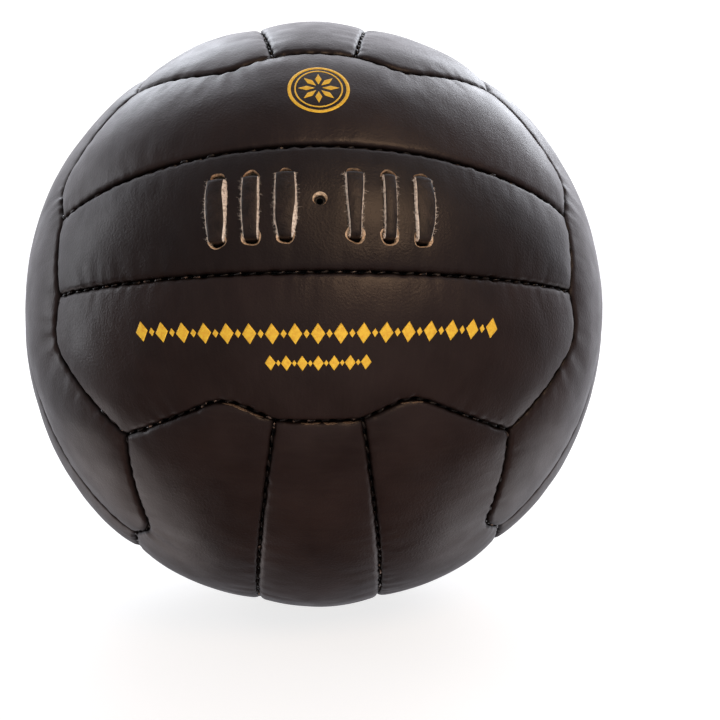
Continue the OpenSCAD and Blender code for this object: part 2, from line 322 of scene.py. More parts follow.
def skin_grid(outline, distance, tu, tv):
    """Directions over a panel: the surface patch spanned by its four side lines."""
    lower, right, upper, left = outline.side_lines(distance)
    low, up = sample(lower, tu)[:, None], sample(upper, tu)[:, None]
    lf, rt = sample(left, tv)[None], sample(right, tv)[None]
    u, v = tu[:, None, None], tv[None, :, None]
    corners = (1 - u) * ((1 - v) * low[0] + v * up[0]) + u * ((1 - v) * low[-1] + v * up[-1])
    return unit((1 - v) * low + v * up + (1 - u) * lf + u * rt - corners)


OUTLINES = {kind: Outline(kind) for kind in ("middle", "side")}


# ---- Lacing places, in the front face's frame ----

LACE_STEPS = (-3, -2, -1, 1, 2, 3)
HOLE_LAT = HOLE_ROW_GAP / 2 / BALL_R


def lace_lon(step):
    return (LACE_SHIFT + step * LACE_PITCH) / BALL_R


def lace_hole(step, row):
    """Direction of a lace hole; row is 1 for the upper row and -1 for the lower one."""
    return face_point(lace_lon(step), row * HOLE_LAT)


def valve_direction():
    return face_point(VALVE_SHIFT[0] / BALL_R, VALVE_SHIFT[1] / BALL_R)


# ---- Grids ----

def grid_faces(nu, nv, first=0, flip=False):
    i, j = np.meshgrid(np.arange(nu - 1), np.arange(nv - 1), indexing="ij")
    a = (first + i * nv + j).ravel()
    quads = np.stack([a, a + nv, a + nv + 1, a + 1], -1)
    return quads[:, ::-1] if flip else quads


def points_of(mesh):
    points = np.empty(len(mesh.vertices) * 3)
    mesh.vertices.foreach_get("co", points)
    return points.reshape(-1, 3)


def border(nu, nv, first=0):
    """Indices round a grid, anticlockwise from its lower left corner."""
    index = first + np.arange(nu * nv).reshape(nu, nv)
    return np.concatenate([index[:-1, 0], index[-1, :-1], index[:0:-1, -1], index[0, :0:-1]])


# ---- Inflation, simulated ----

# Cloth cells along and across a strip, frames until it is at rest, how much the leather grows,
# the pressure, and how many times its real size the ball is simulated at
SIM_CELLS = {"middle": (104, 24), "side": (104, 30)}
SIM_FRAMES = 24
SIM_GROWTH = 0.025
SIM_PRESSURE = 6.0
SIM_SCALE = 10
# Share of the crown that follows the result; the rest is a plain curve
SIMULATED_SHARE = 0.7


def sewn_blank(kind):
    """A panel as thin cloth on the plain sphere, with its border marked as sewn down."""
    nu, nv = (cells + 1 for cells in SIM_CELLS[kind])
    grid = skin_grid(OUTLINES[kind], 0, np.linspace(0, 1, nu), np.linspace(0, 1, nv))
    mesh = bpy.data.meshes.new("blank")
    points = grid.reshape(-1, 3) * BALL_R * SIM_SCALE
    mesh.from_pydata(points.tolist(), [], grid_faces(nu, nv).tolist())
    blank = bpy.data.objects.new("blank", mesh)
    bpy.context.scene.collection.objects.link(blank)
    sewn = blank.vertex_groups.new(name="sewn")
    sewn.add(border(nu, nv).tolist(), 1.0, "REPLACE")
    return blank


def blow_up(blank):
    """Runs Blender's Cloth with pressure from inside, and smooths the result."""
    cloth = blank.modifiers.new("cloth", "CLOTH")
    settings = cloth.settings
    settings.quality = 7
    settings.mass = 0.3
    settings.tension_stiffness = settings.compression_stiffness = 30
    settings.shear_stiffness = 12
    settings.bending_stiffness = 1.5
    settings.shrink_min = settings.shrink_max = -SIM_GROWTH
    settings.use_pressure = True
    settings.uniform_pressure_force = SIM_PRESSURE
    settings.effector_weights.gravity = 0
    settings.vertex_group_mass = "sewn"
    cloth.collision_settings.use_collision = False
    for frame_number in range(1, SIM_FRAMES + 1):
        bpy.context.scene.frame_set(frame_number)
    smooth_surface = blank.modifiers.new("smooth_surface", "SUBSURF")
    smooth_surface.levels = 2


def inflate(kind):
    """Blows up a panel and scales it so that its crown rises as far as the pillow drops. Returns
    a tree of the finished surface, which rays from the ball's centre can look up."""
    blank = sewn_blank(kind)
    blow_up(blank)
    graph = bpy.context.evaluated_depsgraph_get()
    result = bpy.data.meshes.new_from_object(blank.evaluated_get(graph))
    points = points_of(result) / SIM_SCALE
    polygons = [tuple(polygon.vertices) for polygon in result.polygons]
    bpy.data.objects.remove(blank)
    rise = np.linalg.norm(points, axis=1) - BALL_R
    gain = PILLOW_DROP / np.percentile(rise, 90)
    points = unit(points) * (BALL_R + rise * gain)[:, None]
    return BVHTree.FromPolygons(points.tolist(), polygons)


def simulated_rise(tree, directions):
    """How far the blown-up surface stands over the sewn edge, along each direction."""
    centre = Vector((0, 0, 0))
    rise = np.zeros(len(directions))
    for i, direction in enumerate(directions.tolist()):
        hit = tree.ray_cast(centre, direction)[0]
        if hit:
            rise[i] = hit.length - BALL_R
    return rise


# ---- Shape of the inflated leather ----

# How light each panel's leather is: the laced one is darker, the others differ a little
LACED_TONE = 0.64
PANEL_TONES = (0.93, 1.07)

# Depths and reaches: dips at the needle holes, wrinkles that run from the seam, what the wrinkles
# gain where they gather round a peak, and the drop at the corners
PUCKER_DEPTH, PUCKER_REACH = 0.22 * MM, 1.5 * MM
WRINKLE_DEPTH, WRINKLE_REACH = 0.07 * MM, 4.5 * MM
GATHER_DEPTH, GATHER_REACH = 0.08 * MM, 6 * MM
CORNER_DROP, CORNER_REACH = 0.55 * MM, 5.5 * MM

# Sideways moves of the edge: even ones from stitch to stitch, uneven ones, the furthest that it
# reaches into the groove, and how far in from the edge they fade
SCALLOP_EVEN = 0.15 * MM
SCALLOP_UNEVEN, SCALLOP_WAVE = 0.13 * MM, 6 * MM
SCALLOP_LIMIT = 0.3 * MM
SCALLOP_REACH = 1.3 * MM

# Heights and wavelengths of the crown's unevenness, extra height of the middle strips' crowns, and
# the distance from the seam at which they come in
BROAD_WAVES = (0.16 * MM, 45 * MM)
SMALL_WAVES = (0.035 * MM, 13 * MM)
MIDDLE_CROWN = 0.2 * MM
CROWN_REACH = 9 * MM

# Depths and widths of the dimples at the punched holes
LACE_DIMPLE = (0.28 * MM, 3.6 * MM)
VALVE_DIMPLE = (0.22 * MM, 3.2 * MM)


class Panel:
    """One leather panel: its outline, its place on the ball and its own unevenness."""

    def __init__(self, face, strip, index):
        _, middle, lower = FACE_STRIPS[face]
        self.name = f"{face}_{strip}"
        self.kind = "middle" if strip == middle else "side"
        self.outline = OUTLINES[self.kind]
        self.turn = turn_matrix(FACE_TURNS[face]) @ (HALF_TURN if strip == lower else np.eye(3))
        self.laced = strip == "laced"
        self.seed = 100 + 10 * index
        self.tone = LACED_TONE if self.laced else np.interp(index * 0.618 % 1, (0, 1), PANEL_TONES)

    def height(self, directions):
        """Height of the inflated leather over the plain sphere."""
        flat = directions.reshape(-1, 3)
        distance, found = self.outline.nearest(flat)
        inner = np.clip(distance - EDGE_GAP, 0, None)
        roll = 1 - np.clip(inner / ROLL_WIDTH, 0, 1)
        height = CROWN_LIFT - ROLL_DROP * (1 - np.sqrt(1 - roll * roll))
        height += self.inflated_rise(flat, inner) - PILLOW_DROP
        height += self.puckers(inner, found) - self.corner_drop(flat)
        height += self.unevenness(flat, inner)
        if self.laced:
            height += self.lacing_pull(flat)
        return height.reshape(directions.shape[:-1])

    def inflated_rise(self, flat, inner):
        """Rise of the blown-up leather from the seam to the crown: simulated, or a quick guess."""
        guess = PILLOW_DROP * (1 - np.exp(-inner / PILLOW_WIDTH))
        if self.kind not in INFLATED:
            return guess
        share = SIMULATED_SHARE
        return share * simulated_rise(INFLATED[self.kind], flat) + (1 - share) * guess

    def puckers(self, inner, found):
        """Dips at the needle holes, where the thread pulls the edge in, and wrinkles running from
        the seam, which reach further where they gather round one of its peaks."""
        along = self.along(found)
        strength = 0.75 + 0.35 * waves(along, 14 * MM, self.seed + 1)
        at_stitch = 0.5 + 0.5 * np.cos(2 * math.pi * self.outline.phase[found])
        dip = -PUCKER_DEPTH * strength * at_stitch
        gathered = self.outline.near_peak[found]
        depth = WRINKLE_DEPTH + GATHER_DEPTH * gathered
        wrinkle = depth * waves(along, 5 * MM, self.seed + 2)
        reach = WRINKLE_REACH + GATHER_REACH * gathered
        return dip * np.exp(-inner / PUCKER_REACH) + wrinkle * np.exp(-inner / reach)

    def corner_drop(self, flat):
        """Extra depth at the panel's corners, where three or four seams meet."""
        drop = np.zeros(len(flat))
        for corner in self.outline.corners:
            away = np.linalg.norm(flat - corner, axis=1) * BALL_R
            drop += CORNER_DROP * bell(away, CORNER_REACH)
        return drop

    def along(self, found):
        """Places along the seam, as points that waves() can take."""
        position = self.outline.position[found]
        return np.stack([position, 0 * position, 0 * position], -1)

    def scalloped(self, directions):
        """Directions near the edge moved sideways: the leather bulges into the groove along each
        stitch and stands back at the needle holes between them, never quite evenly."""
        flat = directions.reshape(-1, 3)
        distance, found = self.outline.nearest(flat)
        inner = np.clip(distance - EDGE_GAP, 0, None)
        shift = SCALLOP_EVEN * np.cos(2 * math.pi * self.outline.phase[found])
        shift += SCALLOP_UNEVEN * waves(self.along(found), SCALLOP_WAVE, self.seed + 5)
        shift = np.clip(shift, -SCALLOP_LIMIT, None) * np.exp(-inner / SCALLOP_REACH)
        away = unit(flat - self.outline.seam[found])
        return unit(flat + away * (shift / BALL_R)[:, None]).reshape(directions.shape)

    def unevenness(self, flat, inner):
        """Broad and small waves of the crown, which the middle strips carry a little higher."""
        height = MIDDLE_CROWN if self.kind == "middle" else 0
        for offset, (size, wavelength) in ((3, BROAD_WAVES), (4, SMALL_WAVES)):
            height = height + size * waves(flat * BALL_R, wavelength, self.seed + offset)
        return height * (1 - np.exp(-inner / CROWN_REACH))

    def lacing_pull(self, flat):
        """Dimples at the punched holes."""
        holes = [(lace_hole(step, row), LACE_DIMPLE)
                 for step, row in itertools.product(LACE_STEPS, (-1, 1))]
        holes.append((valve_direction(), VALVE_DIMPLE))
        pull = np.zeros(len(flat))
        for hole, (depth, width) in holes:
            near = np.linalg.norm(flat - hole, axis=1) * BALL_R
            pull -= depth * bell(near, width)
        return pull


INFLATED = {kind: inflate(kind) for kind in OUTLINES}
PANELS = {}
for face_name, strip_names in FACE_STRIPS.items():
    for strip_name in strip_names:
        panel = Panel(face_name, strip_name, len(PANELS))
        PANELS[panel.name] = panel
LACED = PANELS["front_laced"]


# ---- Mesh helpers ----

def new_object(name, verts, faces, material, node=None):
    """A smooth piece that rides the ball, and stands in for a CAD node if one is given."""
    mesh = bpy.data.meshes.new(name)
    polygons = faces.tolist() if isinstance(faces, np.ndarray) else faces
    mesh.from_pydata(np.asarray(verts, float).tolist(), [], polygons)
    mesh.polygons.foreach_set("use_smooth", np.ones(len(mesh.polygons), bool))
    mesh.update()
    for m in material if isinstance(material, (list, tuple)) else [material]:
        mesh.materials.append(m)
    obj = bpy.data.objects.new(name, mesh)
    bpy.context.scene.collection.objects.link(obj)
    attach(obj, BODY)
    if node:
        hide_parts(node)
    return obj


def new_joined(name, parts, material, turn=np.eye(3), node=None):
    """One piece out of many parts in a face's frame, put in its place on the ball."""
    verts, faces = join(parts)
    return new_object(name, place(verts, turn), faces, material, node)


def band_faces(upper, lower):
    """Quads between two rings of indices."""
    return np.stack([upper, lower, np.roll(lower, -1), np.roll(upper, -1)], -1)


def thick_skin(outer, inner, rings):
    """Closed mesh of an outer grid, an inner grid and the rings that join their borders."""
    nu, nv = outer.shape[:2]
    count = nu * nv
    verts = [outer.reshape(-1, 3), inner.reshape(-1, 3)]
    faces = [grid_faces(nu, nv), grid_faces(nu, nv, count, flip=True)]
    ring = border(nu, nv)
    first = 2 * count
    for points in rings:
        following = first + np.arange(len(points))
        faces.append(band_faces(ring, following))
        verts.append(points)
        ring = following
        first += len(points)
    faces.append(band_faces(ring, border(nu, nv, count)))
    return np.vstack(verts), np.vstack(faces)


def ring_of(grid):
    """The points round a grid."""
    return grid.reshape(-1, 3)[border(*grid.shape[:2])]


def join(parts):
    """One list of points and faces out of many."""
    verts, faces, first = [], [], 0
    for points, polygons in parts:
        verts.append(points)
        faces += [[first + i for i in polygon] for polygon in polygons]
        first += len(points)
    return np.vstack(verts), faces


# ---- Leather panels and their linings ----

# Height of the round at the foot of a turned-in edge, and the depth below which the leather is
# turned in and out of sight
TURN_IN_ROUND = 0.4 * MM
HIDDEN_DEPTH = 3.6 * MM

# How far the lining stays from the turned-in edges and from the leather, and its thickness
LINING_INSET = 0.3 * MM
LINING_GAP = 0.15 * MM
LINING_T = 0.7 * MM


def panel_grading(outline):
    """Where the mesh lines of a panel run, as shares of its length and of its middle width."""
    lower, _, upper, _ = outline.side_lines(EDGE_GAP)
    half = np.array([0.5])
    width = np.linalg.norm(sample(lower, half) - sample(upper, half)) * BALL_R
    return graded(lengths(lower)[-1]), graded(width)


def build_panel(panel, material):
    """Leather skin: inflated outside, flat inside, with its edges turned in along the seams."""
    tu, tv = panel_grading(panel.outline)
    outer_dirs = skin_grid(panel.outline, EDGE_GAP, tu, tv)
    inner_dirs = skin_grid(panel.outline, EDGE_GAP + TURN_IN_T, tu, tv)
    height = panel.height(outer_dirs)
    outer_dirs = panel.scalloped(outer_dirs)
    outer = outer_dirs * (BALL_R + height)[..., None]
    inner_height = np.minimum(height, 0) - LEATHER_T
    inner = inner_dirs * (BALL_R + inner_height)[..., None]
    edge, inner_edge = ring_of(outer_dirs), ring_of(inner_dirs)
    edge_r = BALL_R + height.reshape(-1)[border(*height.shape)]
    deep_r = BALL_R - TURN_IN_DEPTH
    rings = [edge * (edge_r + (deep_r - edge_r) * t)[:, None] for t in (0.2, 0.5, 0.85)]
    rings.append(unit(edge * 0.75 + inner_edge * 0.25) * deep_r)
    rings.append(unit(edge * 0.25 + inner_edge * 0.75) * deep_r)
    rings.append(inner_edge * (deep_r + TURN_IN_ROUND))
    verts, faces = thick_skin(outer, inner, rings)
    return new_object("leather_" + panel.name, verts, faces, material,
                      "panel_" + panel.name)


def mark_grain(skin, panel):
    """Stores what the leather's grain and colour follow: places along the strip, across it and away from
    the seam, which sets the painted seam shade, and the panel's own tone. It runs before the skin is put
    in place."""
    mesh = skin.data
    own = points_of(mesh)
    directions = unit(own)
    along = np.arctan2(directions[:, 0], -directions[:, 1]) * BALL_R
    across = np.arcsin(directions[:, 2]) * BALL_R
    distance, _ = panel.outline.nearest(directions)
    # Leather turned in out of sight counts as deep in the seam, so it takes the painted seam shade
    distance[np.linalg.norm(own, axis=1) < BALL_R - HIDDEN_DEPTH] = -TURN_IN_DEPTH
    own_stretch = panel.seed * 0.37  # takes each panel's grain from another stretch of the noise
    strip = mesh.attributes.new("strip", "FLOAT_VECTOR", "POINT")
    strip.data.foreach_set("vector", np.stack([along + own_stretch, across, distance], -1).ravel())
    tone = mesh.attributes.new("tone", "FLOAT", "POINT")
    tone.data.foreach_set("value", np.full(len(own), panel.tone))


def put_in_place(piece, turn):
    """Moves a piece built in its own frame to its place on the ball."""
    piece.data.vertices.foreach_set("co", place(points_of(piece.data), turn).ravel())
    piece.data.update()


def build_lining(panel, material):
    """Cloth lining that follows the leather from inside, within its turned-in edges."""
    tu, tv = np.linspace(0, 1, 61), np.linspace(0, 1, 21)
    dirs = skin_grid(panel.outline, EDGE_GAP + TURN_IN_T + LINING_INSET, tu, tv)
    height = panel.height(dirs)
    outer_r = BALL_R + np.minimum(height, 0) - LEATHER_T - LINING_GAP
    outer, inner = dirs * outer_r[..., None], dirs * (outer_r - LINING_T)[..., None]
    verts, faces = thick_skin(outer, inner, [])
    return new_object("cloth_" + panel.name, verts, faces, material,
                      "lining_" + panel.name)


# ---- Punched holes ----

def tube_faces(count, size):
    """Faces of a closed tube of rings, each running anticlockwise seen from the tube's far end."""
    faces = [list(range(size - 1, -1, -1))]
    for ring in range(count - 1):
        here = np.arange(size) + ring * size
        faces += band_faces(here + size, here).tolist()
    faces.append(list(range((count - 1) * size, count * size)))
    return faces


def lathe(direction, profile, wobble, seed):
    """Closed solid of revolution about a radius of the ball; profile is (radius, height) pairs."""
    rng = np.random.default_rng(100 + seed)
    side = unit(np.cross(direction, [0, 0, 1.0]))
    up = np.cross(direction, side)
    angle = full_turn(40)
    phase = rng.uniform(0, 2 * math.pi, 3)
    uneven = 1 + wobble * sum(np.cos((2 + i) * angle + phase[i]) for i in range(3))
    round_axis = np.cos(angle)[:, None] * side + np.sin(angle)[:, None] * up
    rings = [direction * (BALL_R + height) + round_axis * (radius * uneven)[:, None]
             for radius, height in profile]
    return np.vstack(rings), tube_faces(len(profile), len(angle))


def cut(target, solids, material):
    """Cuts solids out of a piece; the cut walls take the given material."""
    verts, faces = join(solids)
    mesh = bpy.data.meshes.new("cutter")
    mesh.from_pydata(verts.tolist(), [], faces)
    mesh.materials.append(material)
    cutter = bpy.data.objects.new("cutter", mesh)
    bpy.context.scene.collection.objects.link(cutter)
    holes = target.modifiers.new("holes", "BOOLEAN")
    holes.object = cutter
    holes.operation = "DIFFERENCE"
    holes.solver = "EXACT"
    holes.material_mode = "TRANSFER"
    graph = bpy.context.evaluated_depsgraph_get()
    result = bpy.data.meshes.new_from_object(target.evaluated_get(graph))
    target.modifiers.clear()
    target.data = result
    result.set_sharp_from_angle(angle=math.radians(50))
    bpy.data.objects.remove(cutter)


# Radii and heights of the punched holes, in mm: the upper row (1) and the lower one (-1), which is
# pulled open by the thongs that run back into it
HOLE_PROFILES = {
    1: [(2.2, -5.5), (2.2, -1.0), (2.3, -0.4), (2.5, 0.1), (3.0, 1.8)],
    -1: [(2.25, -5.5), (2.25, -0.9), (2.6, -0.45), (3.1, 0.2), (3.9, 1.8)],
}


def lace_hole_cutters(row):
    """Slightly uneven round solids, one for each lace hole of a row."""
    profile = [(r * MM, h * MM) for r, h in HOLE_PROFILES[row]]
    return [lathe(lace_hole(step, row), profile, 0.04, 10 * row + step) for step in LACE_STEPS]


def valve_hole_cutter(radius, flare):
    profile = [(radius, -5.5 * MM), (radius, -0.7 * MM), (flare, 0.15 * MM), (flare * 1.1, 1.8 * MM)]
    return lathe(valve_direction(), profile, 0.015, 50)


# ---- Swept pieces: thongs, thread, fibres ----

def swept(centres, sections, across, normal):
    """Closed tube: at each centre, a ring of (sideways, upwards) section points."""
    rings = (centres[:, None] + sections[..., 0:1] * across[:, None]
             + sections[..., 1:2] * normal[:, None])
    return rings.reshape(-1, 3), tube_faces(*rings.shape[:2])


# Thickness, clearance over the leather, radius of the bends, height of the run behind the leather,
# length of the tails, and how far a leg stands outside the centres of its holes
LACE_T = 1.4 * MM
LACE_CLEARANCE = 0.05 * MM
LACE_BEND = 0.9 * MM
LACE_DEEP = -4.2 * MM
LACE_TAIL = 8 * MM
LEG_OFFSET = 0.15 * MM
# The thong between two bridges, in mm: width, raw edge on the left, on the right, sideways bulge
LEG = (4.1, 0.3, 0.3, 0)
# The six bridges in mm, the first three at five stations from the upper to the lower hole: whole
# width, raw edge seen on the left, raw edge seen on the right; then sideways bulge, and how far
# the upper fold sits above its usual place
BRIDGES = {
    -3: ((6.2, 7.4, 7.4, 6.8, 5.6), (0.5, 0.6, 0.7, 0.6, 0.4), (0.5, 1.6, 1.0, 0.4, 0.8), 0.1, -0.9),
    -2: ((5.4, 5.8, 5.9, 5.7, 4.8), (0.5, 0.6, 0.5, 0.6, 0.4), (0.4, 0.5, 0.4, 0.5, 0.4), 0.0, -0.9),
    -1: ((6.6, 7.1, 7.3, 7.6, 5.4), (0.5, 0.5, 0.6, 0.6, 0.5), (0.5, 0.4, 0.5, 1.5, 0.9), 0.1, 0.1),
    1: ((6.0, 6.0, 5.2, 4.4, 3.8), (0.4, 0.5, 0.4, 0.4, 0.3), (0.3, 0.4, 0.4, 0.4, 0.3), -0.2, 0.0),
    2: ((4.1, 4.3, 4.3, 4.2, 3.9), (0.3, 0.4, 0.4, 0.4, 0.3), (0.3, 0.3, 0.4, 0.3, 0.3), 0.0, -0.3),
    3: ((5.8, 6.9, 7.2, 6.5, 4.8), (0.5, 0.7, 0.6, 0.8, 0.6), (0.4, 0.4, 0.5, 0.4, 0.4), 0.3, 0.0),
}
STATIONS = (0, 0.25, 0.5, 0.75, 1)


def lace_section(width, left, right, jitter):
    """Cross-section of a thong, from its lower left corner: grain side up, raw slanted sides."""
    half_w, half_t = width / 2, LACE_T / 2
    j = jitter * MM
    bottom = [(-half_w + 0.2 * MM, -half_t), (half_w - 0.2 * MM, -half_t)]
    right_side = [(half_w + j[0], -0.55 * half_t), (half_w - right * 0.35 + j[1], 0.15 * half_t),
                  (half_w - right * 0.8 + j[2], 0.75 * half_t)]
    top_x = np.linspace(half_w - right, -half_w + left, 9)
    middle = (left - right) / 2
    spread = (width - left - right) / 2
    crown = 1 - ((top_x - middle) / spread) ** 2
    top = [(x, half_t * 0.92 + 0.28 * MM * c) for x, c in zip(top_x, crown)]
    left_side = [(-half_w + left * 0.8 + j[3], 0.75 * half_t),
                 (-half_w + left * 0.35 + j[4], 0.15 * half_t), (-half_w + j[5], -0.55 * half_t)]
    return bottom + right_side + top + left_side


# The sides of that section that are raw, and the corners where fibres stand out on the right (1)
# and on the left (-1)
RAW_SIDES = {0, 1, 2, 3, 4, 13, 14, 15, 16}
FIBRE_CORNERS = ((1, 3), (-1, 15))


def smooth(value, low, high):
    """0 below low, 1 above high, and a smooth step between."""
    t = np.clip((value - low) / (high - low), 0, 1)
    return t * t * (3 - 2 * t)


def lace_path(steps):
    """The thong's centre line as rows of (x, s, height over the ball): in through the first
    bridge's upper hole, over the leather, back through its lower hole, and on to the next."""
    leg_s = HOLE_ROW_GAP / 2 + LEG_OFFSET
    top_h = LACE_T / 2 + LACE_CLEARANCE
    corners = [(lace_lon(steps[0]) * BALL_R, leg_s - LACE_TAIL, LACE_DEEP)]
    for step in steps:
        x = lace_lon(step) * BALL_R
        fold_s = leg_s + BRIDGES[step][4] * MM
        corners += [(x, fold_s, LACE_DEEP), (x, fold_s, top_h),
                    (x, -leg_s, top_h), (x, -leg_s, LACE_DEEP)]
    corners.append((lace_lon(steps[-1]) * BALL_R, LACE_TAIL - leg_s, LACE_DEEP))
    corners = np.array(corners)
    rows, start = [], corners[0]
    for before, corner, after in zip(corners, corners[1:], corners[2:]):
        a = corner + unit(before - corner) * LACE_BEND
        b = corner + unit(after - corner) * LACE_BEND
        straight = np.linspace(0, 1, max(3, round(np.linalg.norm(a - start) / (0.5 * MM))))[:-1, None]
        rows.append(start + (a - start) * straight)
        rows.append(rounded_corner(a, corner, b, 8)[:-1])
        start = b
    rows.append(start + (corners[-1] - start) * np.linspace(0, 1, 12)[:, None])
    return np.vstack(rows)


def smoothed(columns, reach=3):
    """Running mean of each column over 2 reach + 1 rows."""
    padded = np.pad(columns, ((reach, reach), (0, 0)), mode="edge")
    return np.mean([padded[i:i + len(columns)] for i in range(2 * reach + 1)], axis=0)


def lace_cuts(steps, x, along_bridge, shown):
    """Width, raw edges on the left and right, and sideways bulge, all along a thong."""
    nearest = np.argmin(np.abs(x[:, None] - np.array([lace_lon(k) * BALL_R for k in steps])), axis=1)
    cuts = []
    for share, q, k in zip(shown, along_bridge, nearest):
        widths, lefts, rights, bulge, _ = BRIDGES[steps[k]]
        bridge = [np.interp(q, STATIONS, values) for values in (widths, lefts, rights)]
        bridge.append(bulge * math.sin(math.pi * q))
        cuts.append([MM * (there * share + here * (1 - share)) for there, here in zip(bridge, LEG)])
    return smoothed(np.array(cuts)).T


def lace_frame(x, s, h):
    """Centres of a thong on the ball, and its directions across and outwards."""
    lon = x / BALL_R
    centres = face_point(lon, s / BALL_R) * (BALL_R + h)[:, None]
    tangent = unit(np.gradient(centres, axis=0))
    east = np.stack([np.cos(lon), np.sin(lon), 0 * lon], -1)
    across = unit(east - (east * tangent).sum(-1, keepdims=True) * tangent)
    return centres, across, np.cross(across, -tangent)


def build_lace(name, steps, node, leather, raw):
    """Models a thong, and returns the fibres that stand out of it."""
    x, s, h = lace_path(steps).T
    shown = smooth(h, -1.1 * MM, 0.1 * MM)
    along_bridge = np.clip(0.5 - s / HOLE_ROW_GAP, 0, 1)
    width, left, right, sideways = lace_cuts(steps, x, along_bridge, shown)
    rng = np.random.default_rng(steps[0] + 60)
    sections = np.array([lace_section(*cut_at, rng.uniform(-0.15, 0.15, 6) * share)
                         for *cut_at, share in zip(width, left, right, shown)])
    skin = LACED.height(face_point((x + sideways) / BALL_R, s / BALL_R))
    rest = 0.1 * MM * np.sin(math.pi * along_bridge)
    centres, across, normal = lace_frame(x + sideways, s, h + (skin + rest) * shown)
    verts, faces = swept(centres, sections, across, normal)
    lace = new_object(name, place(verts), faces, [leather, raw], node)
    for polygon in lace.data.polygons:
        if len(polygon.vertices) == 4 and polygon.vertices[0] % sections.shape[1] in RAW_SIDES:
            polygon.material_index = 1
    return lace_fibres(centres, sections, across, normal, shown, rng)


def lace_fibres(centres, sections, across, normal, shown, rng):
    """Loose fibres that stand out of the thong's raw sides."""
    parts = []
    for i in np.flatnonzero(shown > 0.9):
        for side, corner in FIBRE_CORNERS:
            for _ in range(rng.poisson(2.4)):
                root = (centres[i] + across[i] * sections[i][corner][0]
                        + normal[i] * rng.uniform(-0.6, 0.5) * MM)
                length = rng.uniform(0.25, 0.9) * MM
                lean = (across[i] * side + normal[i] * rng.uniform(-0.3, 0.6)
                        + np.cross(across[i], normal[i]) * rng.uniform(-0.9, 0.9))
                curl = rng.normal(size=3) * 0.5
                parts.append(fibre(root - unit(lean) * 0.2 * MM, unit(lean), curl, length))
    return parts


def fibre(root, heading, curl, length):
    """A curled hair that thins out towards its tip."""
    t = np.linspace(0, 1, 5)[:, None]
    centres = root + (heading * t + curl * t * t) * length
    side = unit(np.cross(heading, [0.3, 0.2, 0.9]))
    up = np.cross(heading, side)
    angle = full_turn(4)
    ring = np.stack([np.cos(angle), np.sin(angle)], -1)
    sections = ring[None] * (0.055 * MM * (1 - 0.7 * t))[..., None]
    ones = np.ones((5, 1))
    return swept(centres, sections, ones * side, ones * up)


# ---- Thread ----

THREAD_R = 0.42 * MM
STITCH_LEN = 2.9 * MM
# Depth of a stitch's ends under the ball's surface, and how far its middle rises over them
STITCH_DEPTH = 2.85 * MM
STITCH_RISE = 0.55 * MM


def stitch(line, start, total, slant, lift):
    """One stitch seen in the groove: a short, arched, two-ply waxed thread."""
    t = np.linspace(0, 1, 11)
    at = (start + (t - 0.5) * STITCH_LEN) / total
    directions = sample(line, np.clip(at, 0, 1))
    along = unit(np.gradient(directions, axis=0))
    side = unit(np.cross(directions, along))
    arch = (1 - (2 * t - 1) ** 2) * STITCH_RISE
    centres = (directions * (BALL_R - STITCH_DEPTH + arch + lift)[:, None]
               + side * ((t - 0.5) * slant)[:, None])
    angle = full_turn(12)
    thin = np.sqrt(np.clip(1 - (2 * t - 1) ** 4, 0.08, 1))
    radius = THREAD_R * thin[:, None] * (1 + 0.14 * np.cos(2 * (angle[None] - 5 * t[:, None])))
    sections = np.stack([np.cos(angle) * radius, np.sin(angle) * radius], -1)
    return swept(centres, sections, side, directions)


def stitches(line, rng):
    """Stitches all along a seam line; a few of them stand proud."""
    total = lengths(line)[-1]
    count = int(total / STITCH_PITCH)
    pitch = total / count
    parts = []
    for k in range(count):
        slant = rng.normal(0.4, 0.25) * MM
        lift = (rng.normal(0, 0.2) + (0.55 if rng.random() < 0.15 else 0)) * MM
        parts.append(stitch(line, (k + 0.5) * pitch, total, slant, lift))
    return parts


def build_thread(face, material):
    """The thread of a face: one piece for its two long seams, one for the seams at its ends."""
    turn = turn_matrix(FACE_TURNS[face])
    rng = np.random.default_rng(len(face) * 7)
    seam, half = long_seam(), half_end()
    end = np.vstack([mirrored(half, Z)[::-1], half])
    for name, lines in (("strip", (seam, mirrored(seam, Z))), ("end", (end, mirrored(end, X)))):
        parts = [part for line in lines for part in stitches(line, rng)]
        new_joined(f"thread_{name}_{face}", parts, material, turn,
                   f"{name}_stitches_{face}")


# ---- Raw edges that show at the seams below the front face ----

SLIVER_W = 0.55
SLIVER_OFFSET = 0.5 * MM


def sliver(line, start, end, panel, seed):
    """A thin strip of raw leather on the rolled edge of a panel, beside a seam line."""
    rng = np.random.default_rng(seed)
    t = np.linspace(0, 1, 40)
    seam = sample(line, start + (end - start) * t)
    along = unit(np.gradient(seam, axis=0))
    down = np.cross(seam, along)
    down *= np.sign(down[0, 1])
    ragged = 1 + 0.2 * np.interp(t, np.linspace(0, 1, 9), rng.normal(size=9))
    width = np.clip(SLIVER_W * np.sin(math.pi * t) ** 0.5 * ragged, 0.06, None) * MM
    corners = []
    for share, lift in ((0, 0.08), (0.5, 0.16), (1, 0.04), (1, -0.1), (0, -0.1)):
        directions = unit(seam + down * ((SLIVER_OFFSET + share * width) / BALL_R)[:, None])
        height = panel.height(directions @ panel.turn) + lift * MM
        corners.append(directions * (BALL_R + height)[:, None])
    rings = np.stack(corners, 1)
    return rings.reshape(-1, 3), tube_faces(*rings.shape[:2])


